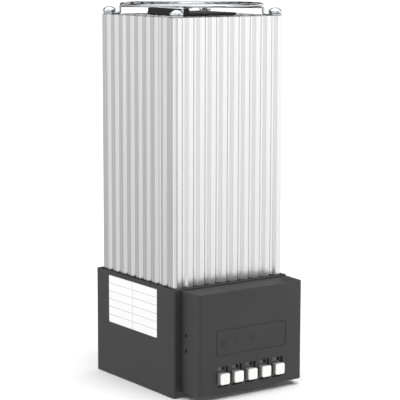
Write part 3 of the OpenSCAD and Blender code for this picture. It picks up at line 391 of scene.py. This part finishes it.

# %% [markdown]
# ## Buttons: white faces, painted shade on their sides
# The buttons are white; their sides get painted shade, grey and darker towards the box, for the shade
# that falls on them inside the box's openings. A ramp along Y, from the face to the back of the button,
# multiplies the plastic's own colour.

# %% Painted shade on the buttons' sides
FACE_AT, SHANK_END = -52.7, -43.3
# Painted shade: white at the face, darker grey towards the back of the button, where it sits in the box
SHANK_PAINTED_SHADE = {0.0: "#ffffff", 0.02: "#fdfdfd", 0.12: "#989896", 1.0: "#535352"}

tree = white_pom.node_tree
shader = tree.nodes["Principled BSDF"]
along = add(tree, "SeparateXYZ", {"Vector": add(tree, "TexCoord").outputs["Object"]}).outputs["Y"]
depth = add(tree, "MapRange", {"Value": along, "From Min": FACE_AT * MM, "From Max": SHANK_END * MM})
dim = add(tree, "ValToRGB", {"Fac": depth.outputs["Result"]})
while len(dim.color_ramp.elements) < len(SHANK_PAINTED_SHADE):
    dim.color_ramp.elements.new(1)
for stop, (position, colour) in zip(dim.color_ramp.elements, SHANK_PAINTED_SHADE.items()):
    stop.position, stop.color = position, linear(colour)
plastic = shader.inputs["Base Color"].links[0].from_socket
# A Mix node has sockets of one name for each kind of data, so those for colours are picked by number
FACTOR, COLOUR_A, COLOUR_B, COLOUR_OUT = 0, 6, 7, 2
both = add(tree, "Mix", {FACTOR: 1.0, COLOUR_A: plastic, COLOUR_B: dim.outputs["Color"]},
           data_type="RGBA", blend_type="MULTIPLY")
tree.links.new(both.outputs[COLOUR_OUT], shader.inputs["Base Color"])
print("shanks fade over", round(SHANK_END - FACE_AT, 1), "mm")

# %% [markdown]
# ## Finish: plated, drawn and plain metals
# Guard and screws are bright chromed steel: they mirror the tent almost sharply, and show dark where
# they mirror its backdrop or the gap under its ceiling. Small screws are zinc plated, the clip is
# plain spring steel and the contacts are brass. One recipe gives a metal its colour, its gloss and a
# cloudy unevenness.


# %% Metals from one recipe
def metal(name, dark, light, cloud_mm, gloss_low, gloss_high, depth_mm):
    """Metal with uneven gloss: noise of that size moves colour between two tones, and gives relief.

    It also moves the roughness between two values.
    """
    made, tree, shader = finish(name, **{"Metallic": 1.0})
    place = add(tree, "TexCoord").outputs["Object"]
    cloud = add(tree, "TexNoise", {"Vector": place, "Scale": 1 / (cloud_mm * MM),
                                   "Detail": 4}).outputs["Fac"]
    tone = add(tree, "ValToRGB", {"Fac": cloud})
    low_stop, high_stop = tone.color_ramp.elements
    low_stop.position, high_stop.position = 0.3, 0.7
    low_stop.color, high_stop.color = linear(dark), linear(light)
    rough = add(tree, "MapRange", {"Value": cloud, "To Min": gloss_low,
                                   "To Max": gloss_high}).outputs["Result"]
    relief = add(tree, "Bump", {"Height": cloud, "Strength": 0.3,
                                "Distance": depth_mm * MM}).outputs["Normal"]
    for socket, source in (("Base Color", tone.outputs["Color"]), ("Roughness", rough),
                           ("Normal", relief)):
        tree.links.new(source, shader.inputs[socket])
    print("made", name)
    return made


# Chrome on drawn wire and on screw heads: bright, nearly a mirror
chrome = metal("steel_bright_chromed", "#bcbfc2", "#c8cbce", 1.5, 0.03, 0.06, 0.002)
# Zinc on small screws: greyer, with a soft bluish gloss
zinc = metal("steel_zinc_plated", "#b0b4b8", "#c2c6ca", 0.8, 0.22, 0.36, 0.006)
# Rolled spring steel of clip and leaf springs: grey and satin
spring_steel = metal("spring_steel_rolled", "#9a9ea3", "#aeb2b6", 2.0, 0.28, 0.42, 0.006)
# Stamped brass of contacts and lug: yellow, slightly dulled
brass = metal("brass_stamped", "#b8924a", "#cba65c", 1.2, 0.22, 0.38, 0.006)
# Heater case: plain drawn aluminium, dull
plain_aluminium = metal("aluminium_plain_drawn", "#b9b7b2", "#c8c6c2", 1.5, 0.35, 0.5, 0.01)

# %% [markdown]
# ## Finish: motor iron, coils, leads and label
# What is left is mostly hidden inside: the stator is a stack of 0.5 mm sheets, the coils are
# enamelled wire, the leads have silicone insulation. The label is white film, printed with the
# ruled fields of a blank rating plate and no words.


# %% Banded finishes
def banded(name, first, second, pitch_mm, direction, metallic, rough, profile="SIN"):
    """Bands of two colours at that pitch along a direction, from a wave that also gives the relief."""
    made, tree, shader = finish(name, **{"Metallic": metallic, "Roughness": rough})
    place = add(tree, "TexCoord").outputs["Object"]
    # A wave texture of scale 1 has 20 / (2 pi) bands to a metre
    scale = 2 * pi / (20 * pitch_mm * MM)
    band = add(tree, "TexWave", {"Vector": place, "Scale": scale, "Distortion": 0.4},
               bands_direction=direction, wave_profile=profile).outputs["Fac"]
    tone = add(tree, "ValToRGB", {"Fac": band})
    low_stop, high_stop = tone.color_ramp.elements
    low_stop.color, high_stop.color = linear(first), linear(second)
    relief = add(tree, "Bump", {"Height": band, "Strength": 0.4, "Distance": 0.05 * MM}).outputs["Normal"]
    for socket, source in (("Base Color", tone.outputs["Color"]), ("Normal", relief)):
        tree.links.new(source, shader.inputs[socket])
    print("made", name)
    return made


# Stack of electrical sheets, 0.5 mm each: grey with darker joints
sheet_iron = banded("motor_iron_laminated", "#6c6f73", "#8e9196", 0.5, "Z", 1.0, 0.45)
# Coils of 0.4 mm enamelled wire: red-brown, glossy
coil = banded("copper_wire_enamelled", "#7d3a1c", "#b0602e", 0.4, "Z", 0.6, 0.3)
# Earth lead: green with a yellow stripe
earth_silicone = banded("silicone_green_yellow", "#3d7a35", "#d8c43a", 6, "DIAGONAL", 0.0, 0.45, "SAW")
# Silicone leads: dull, slightly uneven
red_silicone = moulded("silicone_red_extruded", "#9a2a22", "#ac342a", 0.6, 0.48, 0.01, 1.41)
grey_silicone = moulded("silicone_grey_extruded", "#5a5f66", "#666b72", 0.6, 0.48, 0.01, 1.41)
black_silicone = moulded("silicone_black_extruded", "#232324", "#2c2c2e", 0.6, 0.48, 0.01, 1.41)

# %% White label film with blank ruled fields
film, tree, shader = finish("polyester_film_white_printed",
                            **{"Roughness": 0.3, "IOR": 1.57, "Coat Weight": 0.2})
FIELD_W, FIELD_H, RULE = 26.4, 4.9, 0.25
label_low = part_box("rating_label")[0]
place = add(tree, "TexCoord").outputs["Object"]
flat = add(tree, "Mapping", {"Vector": place, "Location": (0, -label_low.y, -label_low.z)})
axes = add(tree, "SeparateXYZ", {"Vector": flat.outputs["Vector"]})
on_label = add(tree, "CombineXYZ", {"X": axes.outputs["Y"], "Y": axes.outputs["Z"]}).outputs["Vector"]
rule = add(tree, "TexBrick", {"Vector": on_label, "Color1": linear("#fbfbfb"),
                              "Color2": linear("#f8f8f9"), "Mortar": linear("#9a9da1"), "Scale": 1.0,
                              "Mortar Size": RULE / 2 * MM, "Mortar Smooth": 0.1,
                              "Brick Width": FIELD_W * MM, "Row Height": FIELD_H * MM},
           offset=0.0, squash=1.0)
tree.links.new(rule.outputs["Color"], shader.inputs["Base Color"])
print("made", film.name)

# %% [markdown]
# ## Edges of the moulded and extruded pieces
# No real edge is perfectly sharp: a mould, a die or a tumbling drum leaves a radius of a few tenths
# of a millimetre, and that radius is what catches the light. The solids have sharp edges, so the
# pieces that show are copied. Their loose triangles are merged and joined to flat faces, and a Bevel
# modifier rounds the edges. A narrow flat gets a smaller radius, so that its two edges never meet,
# and every flat is then filled anew inside its new outline. The copy stands for its solid.

# %% Flat faces, their outlines and widths
TINY = 0.001 * MM


def planes_of(shape):
    """Lists of the faces in one plane: normals equal to 0.001, distances from the origin to 0.01 mm."""
    found = {}
    for face in shape.faces:
        away = face.normal.dot(face.verts[0].co)
        plane = (*(round(v, 3) + 0.0 for v in face.normal), round(away / (10 * TINY)))
        found.setdefault(plane, []).append(face)
    return list(found.values())


def outline(faces):
    """Loops along the edges that these faces do not share with each other."""
    own = set(faces)
    return [loop for face in faces for loop in face.loops if not own.issuperset(loop.edge.link_faces)]


def widths(loops, normal):
    """Width of a flat at each outline edge: from its middle along normal x edge to the next edge met."""
    a = np.array([loop.vert.co for loop in loops])
    b = np.array([loop.link_loop_next.vert.co for loop in loops])
    along = (b - a) / np.linalg.norm(b - a, axis=1, keepdims=True)
    across = np.cross(normal, along)
    from_a, from_b = (q[None] - (a + b)[:, None] / 2 for q in (a, b))
    ua, ub = (np.einsum("ijk,ik->ij", q, along) for q in (from_a, from_b))
    wa, wb = (np.einsum("ijk,ik->ij", q, across) for q in (from_a, from_b))
    met = ua * ub < 0
    way = np.where(met, wa + ua / np.where(met, ua - ub, 1) * (wb - wa), np.inf)
    return np.where(way > TINY, way, np.inf).min(axis=1)


# %% Soft-edged copies
def filled_anew(mesh, flats):
    """Triangles of each flat (normal, point) made again from its outline; corners keep their normals."""
    normals = np.empty(len(mesh.loops) * 3, np.float32)
    mesh.corner_normals.foreach_get("vector", normals)
    mesh.attributes.new("shade", "FLOAT_VECTOR", "CORNER").data.foreach_set("vector", normals)
    shape = bmesh.new()
    shape.from_mesh(mesh)
    shade, number = shape.loops.layers.float_vector["shade"], shape.faces.layers.int["flat"]
    flat_faces = {}
    for face in shape.faces:
        normal, point = flats.get(face[number], (None, None))
        if normal and all(abs(normal.dot(v.co - point)) < TINY for v in face.verts):
            flat_faces.setdefault(face[number], []).append(face)
    for i, faces in flat_faces.items():
        kept = {loop.vert: loop[shade].copy() for face in faces for loop in face.loops}
        edges = [loop.edge for loop in outline(faces)]
        bmesh.ops.delete(shape, geom=faces, context="FACES_KEEP_BOUNDARY")
        made = bmesh.ops.triangle_fill(shape, edges=edges, use_beauty=True, normal=flats[i][0])["geom"]
        for face in (g for g in made if isinstance(g, bmesh.types.BMFace)):
            face.smooth = True
            if face.normal.dot(flats[i][0]) < 0:
                face.normal_flip()
            for loop in face.loops:
                loop[shade] = kept[loop.vert]
    shape.to_mesh(mesh)
    shape.free()
    normals = np.empty(len(mesh.loops) * 3, np.float32)
    mesh.attributes["shade"].data.foreach_get("vector", normals)
    for name in ("shade", "flat"):
        mesh.attributes.remove(mesh.attributes[name])
    mesh.normals_split_custom_set(normals.reshape(-1, 3).tolist())


WELD, SAME_PLANE = 2 * TINY, radians(0.4)
CORNER, NARROW_SHARE, STEPS = radians(30), 0.35, 2


def softened(node, material, radius_mm):
    """Copy of a CAD node: edges over CORNER get the radius.

    At a narrow flat the radius is at most NARROW_SHARE of the width of that flat.
    """
    shape = bmesh.new()
    shape.from_mesh(frame["nodes"][node].data)
    bmesh.ops.remove_doubles(shape, verts=shape.verts, dist=WELD)
    bmesh.ops.dissolve_limit(shape, angle_limit=SAME_PLANE, verts=shape.verts, edges=shape.edges)
    weight = shape.edges.layers.float.new("bevel_weight_edge")
    number = shape.faces.layers.int.new("flat")
    for edge in shape.edges:
        edge[weight] = float(edge.calc_face_angle(0) > CORNER)
    flats = {}
    for i, faces in enumerate(planes_of(shape)):
        loops, normal = outline(faces), faces[0].normal.copy()
        if radius_mm:
            for loop, width in zip(loops, widths(loops, normal)):
                loop.edge[weight] = min(loop.edge[weight], NARROW_SHARE * width / (radius_mm * MM))
        for face in faces:
            face[number] = i
        # A lone triangle or quad needs no new fill
        if len(faces) > 1 or len(faces[0].verts) > 4:
            flats[i] = normal, faces[0].verts[0].co.copy()
    mesh = bpy.data.meshes.new(node + "_edged")
    shape.to_mesh(mesh)
    shape.free()
    mesh.attributes.remove(mesh.attributes["custom_normal"])
    mesh.shade_smooth()
    made = bpy.data.objects.new(node + "_edged", mesh)
    bpy.context.scene.collection.objects.link(made)
    if radius_mm:
        edge = made.modifiers.new("edge radius", "BEVEL")
        edge.width, edge.segments, edge.limit_method = radius_mm * MM, STEPS, "WEIGHT"
        edge.use_clamp_overlap, edge.loop_slide, edge.harden_normals = False, False, True
        scene_now = bpy.context.evaluated_depsgraph_get()
        made.data = bpy.data.meshes.new_from_object(made.evaluated_get(scene_now), depsgraph=scene_now)
        made.modifiers.clear()
        filled_anew(made.data, flats)
    else:
        mesh.set_sharp_from_angle(angle=CORNER)
    made.data.materials.clear()
    made.data.materials.append(material)
    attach(made, body_of[node])
    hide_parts(node)
    print(made.name, "-", len(made.data.polygons), "faces")


# Radius in millimetres for each piece's edges; with 0 they stay sharp, and only round faces get smooth
softened("heat_sink", aluminium, 0.15)
softened("base_housing", black_abs, 0.4)
softened("terminal_cover", black_abs, 0.4)
softened("terminal_block", grey_pa, 0.2)
for number in range(1, 6):
    softened(f"push_button_{number}", white_pom, 0.45)
softened("element_cap", fan_pbt, 0.4)
softened("element_foot", fan_pbt, 0.3)
softened("fan_frame", fan_pbt, 0.3)
softened("fan_rotor", fan_pbt, 0)
for node in ("guard_screws", "stack_screws"):
    softened(node, chrome, 0)
for node in ("terminal_screws", "clip_screws"):
    softened(node, zinc, 0)
softened("rail_clip", spring_steel, 0.25)
softened("contact_bars", brass, 0.1)
softened("earth_lug", brass, 0.1)

# %% [markdown]
# ## Wire guards
# A finger guard is bent from chromed steel wire: six rings are spot-welded on four spokes, and each
# spoke is bent down to a foot that runs beside its screw into an eye. A circle carried along each
# path makes smoother wire than the solid, so the guards are drawn anew, in the same place. The intake
# guard under the fan is the same guard, smaller and upside down.

# %% Paths of the guards
AXIS_Y = 8.65
WIRE_R, BEND_R, ASIDE = 0.8, 1.2, 2.0
RINGS, RING_STEP = 6, 6.1
RING_Z, SPOKE_Z, FOOT_Z = 6.3, 5.0, 0.8
EYE_AT, EYE_R = 50.56, 3.0
# A spoke starts this far inside the inner ring, and starts to bend this far outside the outer one
INSIDE, OUTSIDE = 1.0, 0.1
WIRE = circle(WIRE_R, 16)
RING_POINTS, EYE_POINTS = 96, 40


def bent(points, radius, steps=8):
    """Line with an arc at each inner corner c: c + r * ((1 - sin a) * u + (1 - cos a) * w).

    The unit vectors u and w point from the corner along its two legs, which are square to each other.
    """
    p = np.asarray(points, float)
    parts = [p[:1]]
    for before, corner, after in zip(p[:-2], p[1:-1], p[2:]):
        u, w = ((q - corner) / np.linalg.norm(q - corner) for q in (before, after))
        a = np.linspace(0, pi / 2, steps)[:, None]
        parts.append(corner + radius * ((1 - np.sin(a)) * u + (1 - np.cos(a)) * w))
    return np.concatenate(parts + [p[-1:]])


def round_path(radius, count, middle):
    """Circle about the middle, in a level plane."""
    return np.column_stack([circle(radius, count), np.zeros(count)]) + middle


def guard(name, node, ring_r, face_z, up):
    """Rings, spokes and eyes of one guard that stands on a face and rises by the sign of up."""
    level = np.array([0, 0, 1.0])
    middle = np.array([0, AXIS_Y, face_z])
    ring_level = middle + up * RING_Z * level
    shells = [carried(WIRE, round_path(ring_r - k * RING_STEP, RING_POINTS, ring_level), level, True)
              for k in range(RINGS)]
    inner, leg = ring_r - (RINGS - 1) * RING_STEP - INSIDE, ring_r + OUTSIDE + BEND_R
    foot_end = EYE_AT - np.sqrt(EYE_R ** 2 - ASIDE ** 2)
    side = np.array([[inner, SPOKE_Z], [leg, SPOKE_Z], [leg, FOOT_Z], [foot_end, FOOT_Z]])
    for angle in np.radians([45, 135, 225, 315]):
        out = np.array([np.cos(angle), np.sin(angle), 0])
        beside = np.cross(level, out) * (ASIDE if out[0] < 0 else -ASIDE)
        line = bent(side, BEND_R)
        path = middle + beside + line[:, :1] * out + up * line[:, 1:] * level
        shells.append(carried(WIRE, path, np.cross(out, level)))
        eye = middle + EYE_AT * out + up * FOOT_Z * level
        shells.append(carried(WIRE, round_path(EYE_R, EYE_POINTS, eye), level, True))
    made = piece(name, shells, chrome, node)
    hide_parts(node)


OUTLET_R, OUTLET_Z = 42.3, 222
INTAKE_R, INTAKE_Z = 37.0, 9.5
guard("outlet_guard_wires", "finger_guard", OUTLET_R, OUTLET_Z, 1)
guard("intake_guard_wires", "intake_guard", INTAKE_R, INTAKE_Z, -1)

# %% [markdown]
# ## Label and marks
# The label is die-cut film: a thin sheet with round corners, stuck on the left face. On the box, the
# mould has raised marks over the first three terminals, the usual earth sign, L and N. They are
# drawn as strokes with sloping sides, polished where the box is grained, so they show faintly.


# %% Label film
def rounded_rectangle(width, height, radius, steps=8):
    """Outline of quarter circles: corner points set in by the radius, plus radius * (cos a, sin a)."""
    a = np.linspace(0, pi / 2, steps)[None, :] + np.arange(4)[:, None] * pi / 2
    corner = np.array([[1, 1], [-1, 1], [-1, -1], [1, -1]]) * (np.array([width, height]) / 2 - radius)
    return (corner[:, None] + radius * np.stack([np.cos(a), np.sin(a)], axis=-1)).reshape(-1, 2)


low, high = (np.array(v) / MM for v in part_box("rating_label"))
middle, size = (low + high) / 2, high - low
ROUND, CUT = 1.0, 0.05
outlines = [rounded_rectangle(size[1] - 2 * c, size[2] - 2 * c, ROUND - c) for c in (0, 0, CUT)]
depths = [high[0], low[0] + CUT, low[0]]
count = len(outlines[0])
points = np.concatenate([np.column_stack([np.full(count, depth), edge + middle[1:]])
                         for edge, depth in zip(outlines, depths)])
ends = [list(range(count))[::-1], list(range(2 * count, 3 * count))]
faces = quads(3, count, False).tolist() + ends
label = piece("label_film", [(points, faces)], film, "rating_label", smooth=False)
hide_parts("rating_label")

# %% Marks over the terminals
STROKE, TOP_SHARE, PROUD, SUNK = 0.55, 0.7, 0.12, -0.05
FACE_Y = np.array(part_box("terminal_cover")[0])[1] / MM
POLES_X, MARK_Z = (-18.5, -8.3, 2.5), 34.0
foot, top = STROKE / 2, TOP_SHARE * STROKE / 2
ramp = np.array([[SUNK, -foot], [PROUD, -top], [PROUD, top], [SUNK, foot]])


def stroke(points, x, closed=False):
    """Raised stroke along points (right, up) from a mark's middle, on the box's front face."""
    p = np.asarray(points, float)
    path = np.column_stack([p[:, 0] + x, np.full(len(p), FACE_Y), p[:, 1] + MARK_Z])
    return carried(ramp, path, (0, -1, 0), closed)


earth = [stroke(circle(2.6, 48), POLES_X[0], True), stroke([[0, 1.7], [0, 0]], POLES_X[0]),
         stroke([[-1.5, 0], [1.5, 0]], POLES_X[0]), stroke([[-1.0, -0.75], [1.0, -0.75]], POLES_X[0]),
         stroke([[-0.5, -1.5], [0.5, -1.5]], POLES_X[0])]
letter_l = [stroke([[-1.3, 2.2], [-1.3, -2.2]], POLES_X[1]),
            stroke([[-1.3, -2.0], [1.4, -2.0]], POLES_X[1])]
letter_n = [stroke([[-1.5, -2.2], [-1.5, 2.2]], POLES_X[2]),
            stroke([[-1.5, 2.1], [1.5, -2.1]], POLES_X[2]),
            stroke([[1.5, -2.2], [1.5, 2.2]], POLES_X[2])]
piece("terminal_marks", earth + letter_l + letter_n, polished_abs, "terminal_cover", smooth=False)

# %% [markdown]
# ## Leaf springs
# Behind each button a steel strip is bent three times: its foot stands on the chamber's floor and its
# tip presses on the button. A flat profile carried along the strip's middle line gives the leaf, and
# curves cut the corners of that line. As a button goes in, the real leaf folds up behind it.

# %% Leaf springs
STRIP_W, STRIP_T, STRIP_BEND = 4.0, 0.4, 0.8
STRIP_YZ = np.array([[-37.85, 8.65], [-34.05, 8.65], [-34.05, 12.6], [-34.95, 14.45], [-41.75, 13.5]])
FIRST_POLE_X, POLE_STEP = -18.5, 10.2


def rounded(corners, radius, steps=7):
    """Line with cut corners: at a corner P the curve (1 - t)^2 S + 2 t (1 - t) P + t^2 E.

    S and E lie at that radius from P, on the two legs that meet there.
    """
    before, at, after = corners[:-2], corners[1:-1], corners[2:]
    start = at + radius * (before - at) / np.linalg.norm(before - at, axis=1, keepdims=True)
    end = at + radius * (after - at) / np.linalg.norm(after - at, axis=1, keepdims=True)
    t = np.linspace(0, 1, steps)[None, :, None]
    curves = (1 - t) ** 2 * start[:, None] + 2 * t * (1 - t) * at[:, None] + t ** 2 * end[:, None]
    return np.concatenate([corners[:1], curves.reshape(-1, 2), corners[-1:]])


strip = np.array([[-1, -1], [1, -1], [1, 1], [-1, 1]]) * (STRIP_W / 2, STRIP_T / 2)
line = rounded(STRIP_YZ, STRIP_BEND)
for number in range(1, 6):
    across = np.full(len(line), FIRST_POLE_X + (number - 1) * POLE_STEP)
    leaf = piece(f"clamp_spring_{number}", [carried(strip, np.column_stack([across, line]), (1, 0, 0))],
                 spring_steel, "clamp_springs", smooth=False)
    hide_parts("clamp_springs")
    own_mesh(leaf)

# %% [markdown]
# ## Finishes of the inner pieces
# The pieces inside keep their solids: their shapes are right and little of them shows. Each gets the
# finish of its real material in its own material slot.

# %% Inner pieces
inside = {"fan_shaft": zinc, "fan_magnet": ferrite, "fan_stator": sheet_iron,
          "fan_windings": coil, "fan_bearings": zinc, "heating_cartridge": plain_aluminium,
          "thermal_cutout": phenolic, "heater_leads": red_silicone, "cutout_leads": grey_silicone,
          "fan_leads": black_silicone, "earth_lead": earth_silicone}
for node, material in inside.items():
    solid = frame["nodes"][node].data
    solid.materials.clear()
    solid.materials.append(material)
print(len(inside), "inner pieces dressed")

# %% [markdown]
# ## Size
# The dressed heater has to stay in the box of its solids. The box of the dressed heater is printed.

# %% Box of the dressed heater
low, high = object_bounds()
print("visual box, mm:", [round(v / MM, 1) for v in (*low, *high)])
